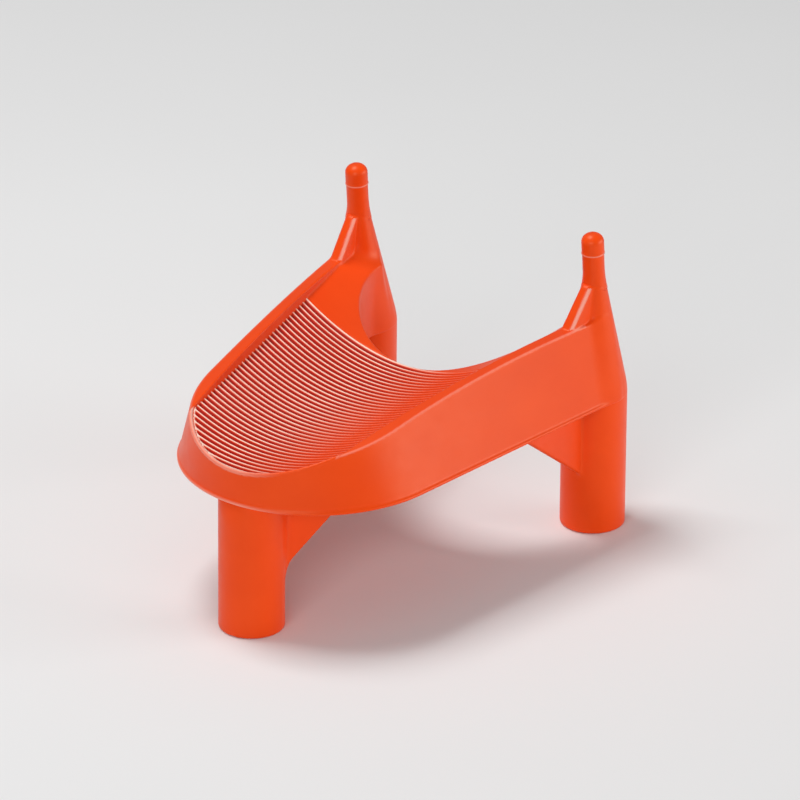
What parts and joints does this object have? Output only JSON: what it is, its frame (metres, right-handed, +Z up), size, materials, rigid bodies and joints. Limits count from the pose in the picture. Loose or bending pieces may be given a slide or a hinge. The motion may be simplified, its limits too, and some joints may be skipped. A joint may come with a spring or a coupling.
{
  "type": "kicking tee",
  "caption": "Football kicking tee: a ribbed, channel-shaped cradle on round hollow legs, with flat side ledges, a rounded rear notch and slim flexible prongs.",
  "frame": {"origin": "on the ground, under the middle of the tee's bounding box", "axes": "+Y from the rounded nose to the two prongs, +Z up, +X to the right as seen from in front of the nose"},
  "size_m": [0.1012, 0.1323, 0.0935],
  "materials": {
    "moulded_rubber": "semi-gloss orange moulding, slightly orange-peeled, with polished edges"
  },
  "bodies": {
    "tee": {"cradle": "moulded_rubber", "nose_wall": "moulded_rubber", "left_side_wall": "moulded_rubber", "right_side_wall": "moulded_rubber", "front_leg": "moulded_rubber", "left_rear_leg": "moulded_rubber", "right_rear_leg": "moulded_rubber", "left_rear_column": "moulded_rubber", "right_rear_column": "moulded_rubber", "left_prong_gusset": "moulded_rubber", "right_prong_gusset": "moulded_rubber", "left_rear_leg_web": "moulded_rubber", "right_rear_leg_web": "moulded_rubber", "left_front_leg_web": "moulded_rubber", "right_front_leg_web": "moulded_rubber"},
    "left_prong": {"left_prong_shaft": "moulded_rubber", "left_prong_tip": "moulded_rubber"},
    "right_prong": {"right_prong_shaft": "moulded_rubber", "right_prong_tip": "moulded_rubber"}
  },
  "joints": [
    {"name": "left_prong_flex", "type": "hinge", "parent": "tee", "child": "left_prong", "pos_m": [-0.0416, 0.0536, 0.079], "axis": [1, 0, 0], "range_deg": [-35, 35], "stiffness_Nm_per_rad": 0.16},
    {"name": "right_prong_flex", "type": "hinge", "parent": "tee", "child": "right_prong", "pos_m": [0.0416, 0.0536, 0.079], "axis": [1, 0, 0], "range_deg": [-35, 35], "stiffness_Nm_per_rad": 0.16}
  ]
}
